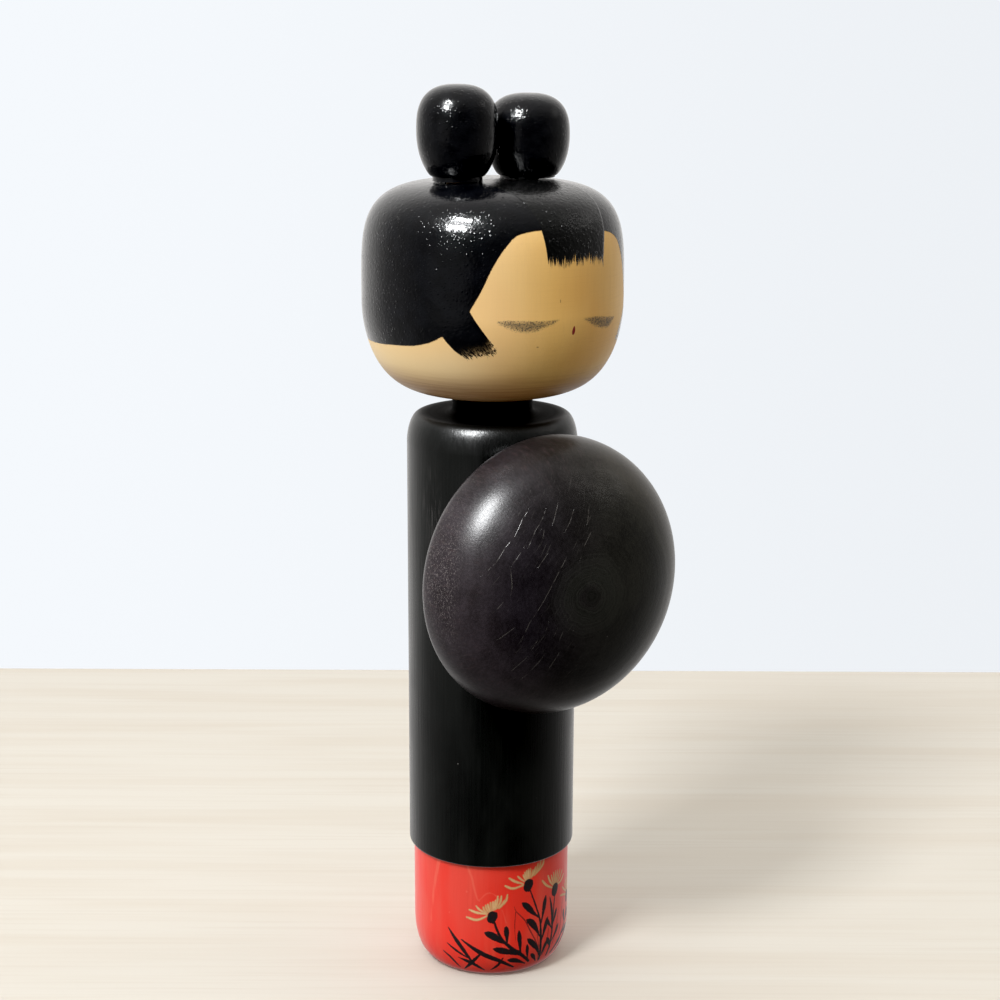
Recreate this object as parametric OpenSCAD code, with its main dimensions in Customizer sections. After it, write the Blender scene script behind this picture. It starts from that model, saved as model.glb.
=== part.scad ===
// Turned wooden kokeshi doll: a slim cylindrical body in a black kimono, a red
// foot, a wide head that turns on a neck dowel, two hair buns, and a domed
// sedge hat held in front of the body.
//
// Frame: millimetres, +Z up. The origin is the centre of the foot's flat
// underside. The front, where the hat is, faces -Y. The doll's own right is -X.
// Every round form is turned about its own axis from one smooth half outline.

/* [Foot] */
// Radius of the red foot
foot_r = 21.7; // [21:0.1:22]
// Height of the foot that shows below the kimono hem
foot_h = 34.4; // [30:0.2:38]
// Height of the rounding at the foot's lower edge
foot_round_h = 12.8; // [8:0.2:16]
// Depth of the rounding at the foot's lower edge
foot_round_r = 5.9; // [3:0.1:8]
// Radius of the spigot that plugs up into the body
spigot_r = 14; // [10:0.5:16]
// Length of the spigot
spigot_l = 12; // [8:1:18]

/* [Kimono body] */
// Radius of the body
body_r = 23; // [22.8:0.1:24]
// Height of the body's flat top above the ground
body_top = 156.6; // [150:0.2:160]
// Height of the rounded shoulder
shoulder_h = 7.4; // [4:0.2:10]
// Depth of the rounded shoulder
shoulder_r = 4; // [2:0.2:6]
// Rounding of the hem's lower edge
hem_round = 0.9; // [0.3:0.1:1.2]
// Radius of the turned collar under the head
collar_r = 10.8; // [8:0.2:12]

/* [Head] */
// Largest radius of the head
head_r = 34.7; // [32:0.1:38]
// Height of the head's widest line above the ground
head_mid = 186.4; // [184:0.2:188]
// Height of the head above its widest line
head_up = 32.2; // [28:0.2:36]
// Height of the head below its widest line
head_down = 24.2; // [23:0.1:24.4]
// Turn of the face away from straight ahead, towards the doll's left
face_turn = 5; // [0:1:20]

/* [Hair buns] */
// Distance of each bun from the head's centre
bun_out = 11.5; // [11.4:0.1:14]
// Largest radius of the right bun
bun_r_right = 10.6; // [9:0.1:11]
// Height of the right bun
bun_h_right = 24.5; // [20:0.1:26]
// Largest radius of the left bun
bun_r_left = 11.1; // [9:0.1:11.2]
// Height of the left bun
bun_h_left = 21.8; // [18:0.1:25]

/* [Hat] */
// Radius of the domed hat
hat_r = 37.2; // [32:0.1:38]
// Height of the dome in front of its widest line
hat_dome = 23.8; // [18:0.1:28]
// Rounding of the hat's back edge
hat_back = 4.2; // [2:0.1:6]
// Height of the hat's centre above the ground
hat_z = 117.8; // [100:0.2:119]

/* [Dowels] */
// Radius of the neck dowel
neck_dowel_r = 5; // [3:0.1:6]
// Radius of the pegs in the buns
bun_peg_r = 3; // [2:0.1:4]
// Radius of the peg behind the hat
hat_peg_r = 4; // [3:0.1:6]
// Radial clearance of the head on its dowel
run_gap = 0.05; // [0.02:0.01:0.1]
// Radial glue gap round a fixed peg
glue_gap = 0.03; // [0.01:0.01:0.06]

/* [Hidden] */
steps = 22;                      // points along each rounded quarter
big_fn = 128;                    // facets shown round the large forms
pin_fn = 64;                     // facets shown round pegs and their holes
eps = 1;                         // how far a cutter runs past a face

collar_top = body_top + 5.45;    // top of the body's collar
seat_gap = 0.25;                 // air between the collar and the turning head
seat_r = collar_r + 0.9;         // flat ring under the head, over the collar
head_top = head_mid + head_up;
bun_base = head_top + 0.05;      // the buns' feet, on the head
hat_y = -(body_r + 0.05);        // the hat's flat back, tangent to the body
neck_low = body_top - 20.6;      // foot of the neck dowel's hole in the body
neck_high = head_mid - 2;        // end of its hole inside the head
peg_low = head_top - 10;         // foot of the bun pegs' holes in the head
peg_high = bun_base + 10.6;      // end of their holes in the buns
hat_peg_in = 12;                 // depth of the hat peg's hole on each side
end_gap = 0.3;                   // air at the blind end of each hole

// A quarter of a superellipse from (w, 0) round to (0, h), up to the angle a1.
// er and ez are the powers that make it fuller than an ellipse.
function quarter(w, h, er, ez, a1 = 90) =
    [for (i = [0:steps]) let (a = a1 * i / steps)
        [w * pow(max(cos(a), 0), 2 / er), h * pow(max(sin(a), 0), 2 / ez)]];
function moved(pts, dr, dz, sr = 1, sz = 1) =
    [for (p = pts) [dr + sr * p[0], dz + sz * p[1]]];
function backwards(pts) = [for (i = [len(pts) - 1:-1:0]) pts[i]];

// The black body: a plain cylinder with a soft shoulder, and a short collar
// that carries the head clear of it.
module body_outline() {
    shoulder = moved(quarter(shoulder_r, shoulder_h, 2.7, 1.55),
                     body_r - shoulder_r, body_top - shoulder_h);
    hem = moved(backwards(quarter(hem_round, hem_round, 2, 2)),
                body_r - hem_round, foot_h + hem_round, 1, -1);
    polygon(concat([[0, foot_h]], hem, shoulder,
        [[collar_r + 1.4, body_top], [collar_r + 0.35, body_top + 0.45],
         [collar_r, body_top + 1.4], [collar_r, collar_top - 0.5],
         [collar_r - 0.5, collar_top], [0, collar_top]]));
}

module kimono_body() color([0.045, 0.045, 0.05]) difference() {
    rotate_extrude($fn = big_fn) body_outline();
    // socket for the foot's spigot
    translate([0, 0, foot_h - eps])
        cylinder(r = spigot_r + glue_gap, h = spigot_l + end_gap + eps, $fn = pin_fn);
    // hole for the neck dowel
    translate([0, 0, neck_low])
        cylinder(r = neck_dowel_r + glue_gap, h = collar_top - neck_low + eps, $fn = pin_fn);
    // hole for the hat's peg
    translate([0, -body_r + hat_peg_in, hat_z]) rotate([90, 0, 0])
        cylinder(r = hat_peg_r + glue_gap, h = hat_peg_in + 3, $fn = pin_fn);
}

// The red foot, with its lower edge rounded in and its spigot on top.
module red_foot() color([0.78, 0.13, 0.08]) rotate_extrude($fn = big_fn)
    polygon(concat([[0, 0]],
        moved(backwards(quarter(foot_round_r, foot_round_h, 2.2, 2.37)),
              foot_r - foot_round_r, foot_round_h, 1, -1),
        [[foot_r, foot_h], [spigot_r, foot_h], [spigot_r, foot_h + spigot_l - 1],
         [spigot_r - 1, foot_h + spigot_l], [0, foot_h + spigot_l]]));

module peg(r, l, bevel) rotate_extrude($fn = pin_fn)
    polygon([[0, 0], [r - bevel, 0], [r, bevel], [r, l - bevel], [r - bevel, l], [0, l]]);

// The dowel that the head turns on, glued into the body.
module neck_dowel() color([0.72, 0.55, 0.34])
    translate([0, 0, neck_low + end_gap])
        peg(neck_dowel_r, neck_high - neck_low - 2 * end_gap, 0.8);

// The head: nearly square shoulders above, a soft jaw below, and a flat seat
// over the collar.
module head_outline() {
    a_seat = acos(pow(seat_r / head_r, 4.77 / 2));
    jaw = moved(backwards(quarter(head_r, head_down, 4.77, 1.78, a_seat)),
                0, head_mid, 1, -1);
    crown = moved(quarter(head_r, head_up, 4.12, 4.54), 0, head_mid);
    polygon(concat([[0, jaw[0][1]]], jaw, [for (i = [1:steps]) crown[i]]));
}

// Puts a child at the right (-1) or left (+1) bun's place on the turned head.
module at_bun(side) rotate([0, 0, face_turn]) translate([side * bun_out, 0, 0]) children();

module head() color([0.80, 0.60, 0.34]) difference() {
    rotate_extrude($fn = big_fn) head_outline();
    translate([0, 0, head_mid - head_down - eps])
        cylinder(r = neck_dowel_r + run_gap, h = neck_high - head_mid + head_down + eps, $fn = pin_fn);
    for (side = [-1, 1]) at_bun(side) translate([0, 0, peg_low])
        cylinder(r = bun_peg_r + glue_gap, h = head_top - peg_low + eps, $fn = pin_fn);
}

// One bun: a short foot of radius foot_r and height foot that stands on the
// head, a flat underside out to the radius base, a belly that swells out of it,
// and a fuller top. er and ez are the belly's powers, as in quarter().
module bun(r, h, low, foot, foot_r, base, er, ez) difference() {
    belly = moved(backwards(quarter(r - base, low - foot, er, ez)), base, low, 1, -1);
    top = moved(quarter(r, h - low, 2.6, 2.75), 0, low);
    rotate_extrude($fn = big_fn)
        polygon(concat([[0, 0], [foot_r, 0], [foot_r, foot]], belly,
                       [for (i = [1:steps]) top[i]]));
    translate([0, 0, -eps])
        cylinder(r = bun_peg_r + glue_gap, h = peg_high - bun_base + eps, $fn = pin_fn);
}

module bun_right() color([0.035, 0.035, 0.04]) at_bun(-1) translate([0, 0, bun_base])
    bun(bun_r_right, bun_h_right, bun_h_right * 0.52, 1.2, 6.5, 6.8, 1.3, 2.1);
module bun_left() color([0.035, 0.035, 0.04]) at_bun(1) translate([0, 0, bun_base])
    bun(bun_r_left, bun_h_left, bun_h_left * 0.483, 0.5, 7.3, 7.6, 1.35, 1.95);

module bun_peg() translate([0, 0, peg_low + end_gap])
    peg(bun_peg_r, peg_high - peg_low - 2 * end_gap, 0.5);
module bun_peg_right() color([0.72, 0.55, 0.34]) at_bun(-1) bun_peg();
module bun_peg_left() color([0.72, 0.55, 0.34]) at_bun(1) bun_peg();

// Lays something turned about +Z so that its axis points forward, along -Y,
// from the hat's back.
module facing_front() translate([0, hat_y, hat_z]) rotate([90, 0, 0]) children();

// The domed hat: flat at the back, a rounded edge, then a full dome.
module hat() color([0.10, 0.075, 0.085]) facing_front() difference() {
    edge = moved(backwards(quarter(hat_back, hat_back, 2, 2)),
                 hat_r - hat_back, hat_back, 1, -1);
    dome = moved(quarter(hat_r, hat_dome, 2.11, 2.14), 0, hat_back);
    rotate_extrude($fn = big_fn)
        polygon(concat([[0, 0]], edge, [for (i = [1:steps]) dome[i]]));
    translate([0, 0, -eps])
        cylinder(r = hat_peg_r + glue_gap, h = hat_peg_in + eps, $fn = pin_fn);
}

module hat_peg() color([0.72, 0.55, 0.34])
    facing_front() translate([0, 0, -hat_peg_in + end_gap])
        peg(hat_peg_r, 2 * hat_peg_in - 2 * end_gap, 0.6);

kimono_body();
red_foot();
neck_dowel();
head();
bun_right();
bun_left();
bun_peg_right();
bun_peg_left();
hat();
hat_peg();
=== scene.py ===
"""A turned wooden kokeshi doll: slim black kimono, painted red foot, wide head that turns on a neck
dowel, two hair buns, and a domed hat held in front. Every visible turned part is a dense lathe mesh
with its own bores, and the painting is drawn on it by listed brush strokes."""

import math

import bpy
import numpy as np
from mathutils import Matrix, Vector


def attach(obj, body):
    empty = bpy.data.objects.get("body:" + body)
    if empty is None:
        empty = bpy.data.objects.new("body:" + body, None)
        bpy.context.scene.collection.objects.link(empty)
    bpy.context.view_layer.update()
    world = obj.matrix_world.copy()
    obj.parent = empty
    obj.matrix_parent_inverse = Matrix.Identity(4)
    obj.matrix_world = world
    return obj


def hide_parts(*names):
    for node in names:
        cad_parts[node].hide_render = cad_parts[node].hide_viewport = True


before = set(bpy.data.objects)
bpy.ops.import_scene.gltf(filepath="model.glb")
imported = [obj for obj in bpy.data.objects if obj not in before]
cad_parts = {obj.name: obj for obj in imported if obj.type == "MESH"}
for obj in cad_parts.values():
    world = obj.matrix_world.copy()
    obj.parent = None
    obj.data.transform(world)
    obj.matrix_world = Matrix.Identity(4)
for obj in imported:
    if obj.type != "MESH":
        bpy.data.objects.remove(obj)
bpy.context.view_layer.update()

MM = 0.001
D2R = math.pi / 180.0
VIEW_AZ = 32.5          # the brush strokes are listed by azimuth from this line, left of the front
FACE_AZ = 5.0           # the face looks this much towards the doll's left
HAT_Z = 117.8
rng = np.random.default_rng(7)


# ---------------------------------------------------------------- outlines, in millimetres
def quarter(w, h, er, ez, a1=90.0, n=600):
    """A quarter of a superellipse from (w, 0) round to (0, h)."""
    a = np.radians(np.linspace(0.0, a1, n))
    r = w * np.maximum(np.cos(a), 0.0) ** (2 / er)
    z = h * np.sin(a) ** (2 / ez)
    if a1 == 90.0:
        r[-1] = 0.0
    return np.stack([r, z], 1)


def moved(p, dr, dz, sr=1, sz=1):
    return np.stack([dr + sr * p[:, 0], dz + sz * p[:, 1]], 1)


def even(p, step):
    """The outline p again, with a point about every step of its length."""
    p = np.asarray(p, float)
    s = np.r_[0, np.cumsum(np.hypot(*np.diff(p, axis=0).T))]
    t = np.linspace(0, s[-1], max(2, int(round(s[-1] / step)) + 1))
    return np.stack([np.interp(t, s, p[:, 0]), np.interp(t, s, p[:, 1])], 1)


def joined(*parts):
    out = [np.asarray(parts[0], float)]
    for p in parts[1:]:
        p = np.asarray(p, float)
        if np.hypot(*(p[0] - out[-1][-1])) < 1e-6:
            p = p[1:]
        out.append(p)
    return np.concatenate(out)


# ---------------------------------------------------------------- meshes
def turned(name, outline, az, place=lambda p: p, sharp=38):
    """A mesh turned about +Z from the outline, walked from the axis out and up with the solid on its left."""
    th = np.radians(np.asarray(az) - 90.0)
    c, s = np.cos(th), np.sin(th)
    m = len(th)
    co, rows, n = [], [], 0
    for r, z in outline:
        if r < 1e-6:
            co.append(np.array([[0.0, 0.0, z]]))
            rows.append(np.array([n]))
            n += 1
        else:
            co.append(np.stack([r * c, r * s, np.full(m, z)], 1))
            rows.append(np.arange(n, n + m))
            n += m
    co = place(np.concatenate(co)) * MM
    faces = []
    for a, b in zip(rows, rows[1:]):
        if len(a) == 1 and len(b) == 1:
            continue
        if len(a) == 1:
            faces += np.stack([np.full(m, a[0]), np.roll(b, -1), b], 1).tolist()
        elif len(b) == 1:
            faces += np.stack([a, np.roll(a, -1), np.full(m, b[0])], 1).tolist()
        else:
            faces += np.stack([a, np.roll(a, -1), np.roll(b, -1), b], 1).tolist()
    me = bpy.data.meshes.new(name)
    me.from_pydata(co.tolist(), [], faces)
    me.validate()
    ob = bpy.data.objects.new(name, me)
    bpy.context.scene.collection.objects.link(ob)
    finish_mesh(me, sharp)
    return ob


def finish_mesh(me, sharp):
    me.polygons.foreach_set("use_smooth", np.ones(len(me.polygons), bool))
    me.set_sharp_from_angle(angle=math.radians(sharp))
    me.update()


def bored(ob, cutters, sharp=38):
    """Cuts the cutters' holes out of the object for good."""
    for c in cutters:
        mod = ob.modifiers.new("bore", "BOOLEAN")
        mod.operation, mod.solver, mod.object = "DIFFERENCE", "EXACT", c
    dg = bpy.context.evaluated_depsgraph_get()
    me = bpy.data.meshes.new_from_object(ob.evaluated_get(dg), depsgraph=dg)
    ob.modifiers.clear()
    old, ob.data = ob.data, me
    me.name = ob.name
    bpy.data.meshes.remove(old)
    for c in cutters:
        cm = c.data
        bpy.data.objects.remove(c)
        bpy.data.meshes.remove(cm)
    finish_mesh(me, sharp)
    return ob


def points_of(ob):
    """The mesh's points in millimetres."""
    co = np.empty(len(ob.data.vertices) * 3, np.float64)
    ob.data.vertices.foreach_get("co", co)
    return co.reshape(-1, 3) / MM


def store(ob, name, values):
    a = ob.data.attributes.new(name, "FLOAT", "POINT")
    a.data.foreach_set("value", np.asarray(values, np.float32))


RING = np.arange(0, 360, 360 / 96)
FACE_DIR = (math.cos(FACE_AZ * D2R), math.sin(FACE_AZ * D2R))     # the head's own left, seen from above


def at_bun(side, r=11.5):
    dx, dy = side * r * FACE_DIR[0], side * r * FACE_DIR[1]
    return lambda p: p + np.array([dx, dy, 0.0])


def rod(name, r, z0, z1, place=lambda p: p, az=RING):
    return turned(name, [(0, z0), (r, z0), (r, z1), (0, z1)], az, place)


# ---------------------------------------------------------------- painting on the meshes
def smooth_line(pts, n=8):
    """A Catmull-Rom curve through the points, whatever their number of columns."""
    p = np.asarray(pts, float)
    if len(p) < 3:
        t = np.linspace(0, 1, n + 1)[:, None]
        return p[0] + (p[-1] - p[0]) * t
    q = np.vstack([2 * p[0] - p[1], p, 2 * p[-1] - p[-2]])
    out = []
    for i in range(1, len(q) - 2):
        a, b, c, d = q[i - 1], q[i], q[i + 1], q[i + 2]
        for t in np.linspace(0, 1, n, endpoint=False):
            out.append(0.5 * (2 * b + (c - a) * t + (2 * a - 5 * b + 4 * c - d) * t * t
                              + (3 * b - a - 3 * c + d) * t ** 3))
    out.append(q[-2])
    return np.array(out)


def along(a, b, P):
    e = b - a
    t = np.clip(((P - a) @ e) / max(e @ e, 1e-12), 0, 1)
    return t, np.hypot(*(P - a - t[:, None] * e).T)


def line_distance(P, pts):
    d = np.full(len(P), 1e9)
    for a, b in zip(pts, pts[1:]):
        d = np.minimum(d, along(a, b, P)[1])
    return d


def inside_distance(P, poly):
    """How far inside the closed outline each point is. Outside it's negative."""
    poly = np.asarray(poly, float)
    d = np.full(len(P), 1e9)
    odd = np.zeros(len(P), bool)
    for a, b in zip(poly, np.roll(poly, -1, 0)):
        d = np.minimum(d, along(a, b, P)[1])
        cross = (a[1] > P[:, 1]) != (b[1] > P[:, 1])
        if cross.any():
            x = a[0] + (P[:, 1] - a[1]) * (b[0] - a[0]) / (b[1] - a[1] if b[1] != a[1] else 1e-9)
            odd ^= cross & (P[:, 0] < x)
    return np.where(odd, d, -d)


class Paint:
    """Brush strokes on an unrolled surface: how far inside the nearest stroke each point is."""

    def __init__(self, P, far=1.6):
        self.P, self.far = P, far
        self.d = np.full(len(P), -far)
        self.tone = np.full(len(P), 0.5)

    def stroke(self, pts, widths, tone=0.5, n=7):
        """pts are (u, v) along the stroke, widths the brush's half-width at evenly spaced places."""
        c = smooth_line(pts, n)
        s = np.r_[0, np.cumsum(np.hypot(*np.diff(c, axis=0).T))]
        w = np.interp(s / s[-1], np.linspace(0, 1, len(widths)), widths)
        lo, hi = c.min(0) - self.far - max(w), c.max(0) + self.far + max(w)
        near = np.where(((self.P > lo) & (self.P < hi)).all(1))[0]
        P = self.P[near]
        for a, b, wa, wb in zip(c, c[1:], w, w[1:]):
            t, dist = along(a, b, P)
            d = wa + (wb - wa) * t - dist
            better = d > self.d[near]
            k = near[better]
            self.d[k] = d[better]
            self.tone[k] = tone


# ---------------------------------------------------------------- materials
def srgb(r, g, b):
    f = lambda c: c / 12.92 if c <= 0.04045 else ((c + 0.055) / 1.055) ** 2.4
    return tuple(f(v / 255.0) for v in (r, g, b))


class Mat:
    """A Principled material built from nodes, with short names for the ones used here."""

    def __init__(self, name, rough=0.4, spec=0.5):
        self.m = bpy.data.materials.new(name)
        self.m.use_nodes = True
        self.t = self.m.node_tree
        self.t.nodes.clear()
        out = self.t.nodes.new("ShaderNodeOutputMaterial")
        self.b = self.t.nodes.new("ShaderNodeBsdfPrincipled")
        self.t.links.new(self.b.outputs[0], out.inputs[0])
        self.b.inputs["Roughness"].default_value = rough
        self.b.inputs["Specular IOR Level"].default_value = spec
        tc = self.t.nodes.new("ShaderNodeTexCoord")
        self.P = self.vec("SCALE", tc.outputs["Object"], scale=1000.0)     # millimetres

    def put(self, socket, v):
        if isinstance(v, bpy.types.NodeSocket):
            self.t.links.new(v, socket)
        elif hasattr(socket, "default_value"):
            if isinstance(v, (tuple, list)) and len(v) == 3 and len(socket.default_value) == 4:
                v = (*v, 1.0)
            socket.default_value = v

    def set(self, name, v):
        self.put(self.b.inputs[name], v)

    def blend(self, fac, spec, colour, rough, normal):
        """Fades the surface into a second one where fac is 1."""
        other = self.t.nodes.new("ShaderNodeBsdfPrincipled")
        other.inputs["Specular IOR Level"].default_value = spec
        for k, v in (("Base Color", colour), ("Roughness", rough), ("Normal", normal)):
            self.put(other.inputs[k], v)
        both = self.t.nodes.new("ShaderNodeMixShader")
        for i, v in enumerate((fac, self.b.outputs[0], other.outputs[0])):
            self.put(both.inputs[i], v)
        out = next(n for n in self.t.nodes if n.type == "OUTPUT_MATERIAL")
        self.t.links.new(both.outputs[0], out.inputs[0])

    def vec(self, op, a, b=None, scale=None):
        n = self.t.nodes.new("ShaderNodeVectorMath")
        n.operation = op
        self.put(n.inputs[0], a)
        if b is not None:
            self.put(n.inputs[1], b)
        if scale is not None:
            self.put(n.inputs["Scale"], scale)
        return n.outputs["Value"] if op in ("LENGTH", "DOT_PRODUCT", "DISTANCE") else n.outputs[0]

    def f(self, op, a, b=None, c=None, clamp=False):
        n = self.t.nodes.new("ShaderNodeMath")
        n.operation, n.use_clamp = op, clamp
        for i, v in enumerate((a, b, c)):
            if v is not None:
                self.put(n.inputs[i], v)
        return n.outputs[0]

    def add(self, a, b): return self.f("ADD", a, b)
    def sub(self, a, b): return self.f("SUBTRACT", a, b)
    def mul(self, a, b): return self.f("MULTIPLY", a, b)
    def top(self, a, b): return self.f("MAXIMUM", a, b)
    def low(self, a, b): return self.f("MINIMUM", a, b)

    def noise(self, v, scale=1.0, detail=2.0, rough=0.5, dist=0.0):
        n = self.t.nodes.new("ShaderNodeTexNoise")
        self.put(n.inputs["Vector"], v)
        n.inputs["Scale"].default_value = scale
        n.inputs["Detail"].default_value = detail
        n.inputs["Roughness"].default_value = rough
        n.inputs["Distortion"].default_value = dist
        return n.outputs[0]

    def noise1(self, w, scale=1.0, detail=2.0, rough=0.5):
        n = self.t.nodes.new("ShaderNodeTexNoise")
        n.noise_dimensions = "1D"
        self.put(n.inputs["W"], w)
        n.inputs["Scale"].default_value = scale
        n.inputs["Detail"].default_value = detail
        n.inputs["Roughness"].default_value = rough
        return n.outputs[0]

    def cells(self, v, scale=1.0, rand=1.0):
        n = self.t.nodes.new("ShaderNodeTexVoronoi")
        self.put(n.inputs["Vector"], v)
        n.inputs["Scale"].default_value = scale
        n.inputs["Randomness"].default_value = rand
        return n.outputs["Distance"], n.outputs["Color"]

    def step(self, x, a, b):
        """0 below a, 1 above b, smooth between. a may be above b."""
        n = self.t.nodes.new("ShaderNodeMapRange")
        n.interpolation_type = "SMOOTHSTEP"
        self.put(n.inputs["Value"], x)
        lo, hi, y0, y1 = (a, b, 0.0, 1.0) if a < b else (b, a, 1.0, 0.0)
        for k, v in (("From Min", lo), ("From Max", hi), ("To Min", y0), ("To Max", y1)):
            n.inputs[k].default_value = v
        return n.outputs[0]

    def mix(self, f, a, b):
        n = self.t.nodes.new("ShaderNodeMix")
        n.data_type = "RGBA"
        self.put(n.inputs["Factor"], f)
        self.put(n.inputs[6], a)
        self.put(n.inputs[7], b)
        return n.outputs[2]

    def lerp(self, f, a, b):
        n = self.t.nodes.new("ShaderNodeMix")
        self.put(n.inputs[0], f)
        self.put(n.inputs[2], a)
        self.put(n.inputs[3], b)
        return n.outputs[0]

    def attr(self, name):
        n = self.t.nodes.new("ShaderNodeAttribute")
        n.attribute_name = name
        return n.outputs["Fac"]

    def xyz(self, v):
        n = self.t.nodes.new("ShaderNodeSeparateXYZ")
        self.put(n.inputs[0], v)
        return n.outputs

    def combine(self, x, y, z=0.0):
        n = self.t.nodes.new("ShaderNodeCombineXYZ")
        for i, v in enumerate((x, y, z)):
            self.put(n.inputs[i], v)
        return n.outputs[0]

    def bump(self, height, mm, strength=1.0, normal=None):
        n = self.t.nodes.new("ShaderNodeBump")
        n.inputs["Strength"].default_value = strength
        n.inputs["Distance"].default_value = mm * MM
        self.put(n.inputs["Height"], height)
        if normal is not None:
            self.put(n.inputs["Normal"], normal)
        return n.outputs[0]

    def stretched(self, x, y, z):
        return self.vec("MULTIPLY", self.P, (x, y, z))


def give(ob, mat, *others):
    """Puts mat on the object. others are (material, chooser), and a chooser gets the faces' centres in millimetres."""
    ob.data.materials.clear()
    ob.data.materials.append(mat.m)
    if others:
        n = len(ob.data.polygons)
        c = np.empty(n * 3)
        ob.data.polygons.foreach_get("center", c)
        c = c.reshape(-1, 3) / MM
        slots = np.zeros(n, np.int32)
        for i, (other, chooser) in enumerate(others, 1):
            ob.data.materials.append(other.m)
            slots[chooser(c)] = i
        ob.data.polygons.foreach_set("material_index", slots)


def bare_wood(name, stretch):
    """Unpainted wood: inside the bores, and on the dowel and pegs."""
    m = Mat(name, rough=0.55, spec=0.4)
    fibre = m.noise(m.stretched(*stretch), 1.0, 4.0, 0.6)
    tone = m.noise(m.P, 0.12, 2.0, 0.5)
    col = m.mix(m.step(fibre, 0.3, 0.7), (0.47, 0.29, 0.13), (0.66, 0.46, 0.25))
    m.set("Base Color", m.mix(m.mul(tone, 0.3), col, (0.40, 0.22, 0.09)))
    m.set("Roughness", m.lerp(fibre, 0.5, 0.65))
    m.set("Normal", m.bump(fibre, 0.04))
    return m


def beads(m):
    """The lacquer's surface: a fine unevenness, and small beads standing on it here and there."""
    d, tint = m.cells(m.P, 0.95)
    bead = m.mul(m.step(d, 0.36, 0.05), m.step(m.xyz(tint)[0], 0.52, 0.72))
    d2, tint2 = m.cells(m.vec("ADD", m.P, (31.0, 17.0, 5.0)), 1.7)
    small = m.mul(m.step(d2, 0.40, 0.08), m.step(m.xyz(tint2)[1], 0.60, 0.80))
    peel = m.add(m.noise(m.P, 1.15, 0.0), m.mul(m.noise(m.P, 2.7, 0.0), 0.30))
    return peel, m.add(bead, m.mul(small, 0.5))


upright = bare_wood("bare_wood_upright", (2.4, 2.4, 0.09))
lying = bare_wood("bare_wood_lying", (2.4, 0.09, 2.4))
radius = lambda c: np.hypot(c[:, 0], c[:, 1])


# ================================================================ red foot
az_fine = np.linspace(-75.0, 75.0, 316)
az_foot = np.r_[az_fine, np.linspace(75.0, 285.0, 85)[1:-1]]
foot_low = moved(quarter(5.9, 12.8, 2.2, 2.37)[::-1], 21.7 - 5.9, 12.8, 1, -1)
foot_side = even(joined(foot_low, [(21.7, 12.8), (21.7, 34.4)]), 0.18)
foot = turned("red_foot_painted",
              joined([(0, 0), (5, 0), (10, 0), (14, 0)], foot_side,
                     [(21.7, 34.4), (18, 34.4), (14, 34.4), (14, 40), (14, 45.4), (13.6, 46.05), (13, 46.4), (0, 46.4)]),
              az_foot)
p = points_of(foot)
az_view = np.degrees(np.arctan2(p[:, 0], -p[:, 1])) + VIEW_AZ
U = 21.7 * D2R                                  # millimetres of surface for each degree
flat = np.stack([az_view * U, p[:, 2]], 1)
out_of_reach = (np.hypot(p[:, 0], p[:, 1]) < 15.0) | (p[:, 2] > 34.45)
flat[out_of_reach] += 500.0


def uv(pts):
    return [(a * U, z) for a, z in pts]


def leaf(paint, tip, *rest, w=0.95, tone=0.5):
    """A blunt leaf, widest near its tip, laid down towards the stem."""
    paint.stroke(uv([tip, *rest]), [0.22 * w, 0.80 * w, 1.0 * w, 0.98 * w, 0.82 * w, 0.6 * w, 0.42 * w, 0.24 * w, 0.16 * w], tone)


def blade(paint, pts, w, tone=0.5):
    """A grass blade, thin at both ends."""
    paint.stroke(uv(pts), [0.10 * w + 0.03, 0.6 * w, 0.95 * w, w, 0.9 * w, 0.65 * w, 0.25 * w + 0.03], tone)


def petal(paint, tip, *rest, w=0.36, tone=0.5):
    """A petal, pulled from its rounded tip into the cup."""
    paint.stroke(uv([tip, *rest]), [0.66 * w, 1.0 * w, 1.0 * w, 0.92 * w, 0.8 * w, 0.6 * w], tone)


ink = Paint(flat)
# cups under the three flowers, and a fourth on the far side
for a, z, w in ((1.1, 19.25, 1.25), (28.5, 27.6, 1.3), (55.4, 23.3, 1.35), (80.0, 17.6, 1.25)):
    lean = 0.35 if a < 70 else -0.35
    ink.stroke(uv([(a - 0.4, z - 0.45), (a + lean, z + 0.45)]), [w * 0.98, w * 1.06])
    ink.stroke(uv([(a + 1.2 * lean - 1.6, z + 0.75), (a + 1.2 * lean + 2.0, z + 1.05)]), [0.45, 0.5])
    ink.stroke(uv([(a, z - 0.7), (a + 0.5, z - 1.55)]), [0.75, 0.3])
# stems
blade_w = [0.20, 0.24, 0.26, 0.32, 0.40, 0.46, 0.40]
ink.stroke(uv([(2.7, 17.8), (5.1, 15.1), (8.2, 12.7), (12.2, 10.9), (16.6, 9.2), (21.8, 7.7), (28.0, 5.4), (30.8, 4.2)]), [0.26, 0.28, 0.30, 0.46, 0.50, 0.42, 0.34])
ink.stroke(uv([(29.6, 26.4), (32.4, 23.7), (35.9, 20.1), (39.0, 16.4), (39.9, 13.1), (40.3, 9.1), (41.2, 5.1), (41.5, 3.4)]), [0.15, 0.16, 0.2, 0.28, 0.32, 0.34, 0.34])
ink.stroke(uv([(55.3, 22.0), (54.6, 19.5), (53.6, 16.0), (52.4, 12.0), (51.2, 8.0), (49.5, 4.0)]), [0.15, 0.18, 0.2, 0.28, 0.32, 0.3])
ink.stroke(uv([(79.2, 16.4), (77.0, 13.4), (73.0, 10.6), (67.5, 8.2), (60.5, 5.8), (55.0, 4.0)]), [0.2, 0.24, 0.28, 0.4, 0.42, 0.3])
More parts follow.
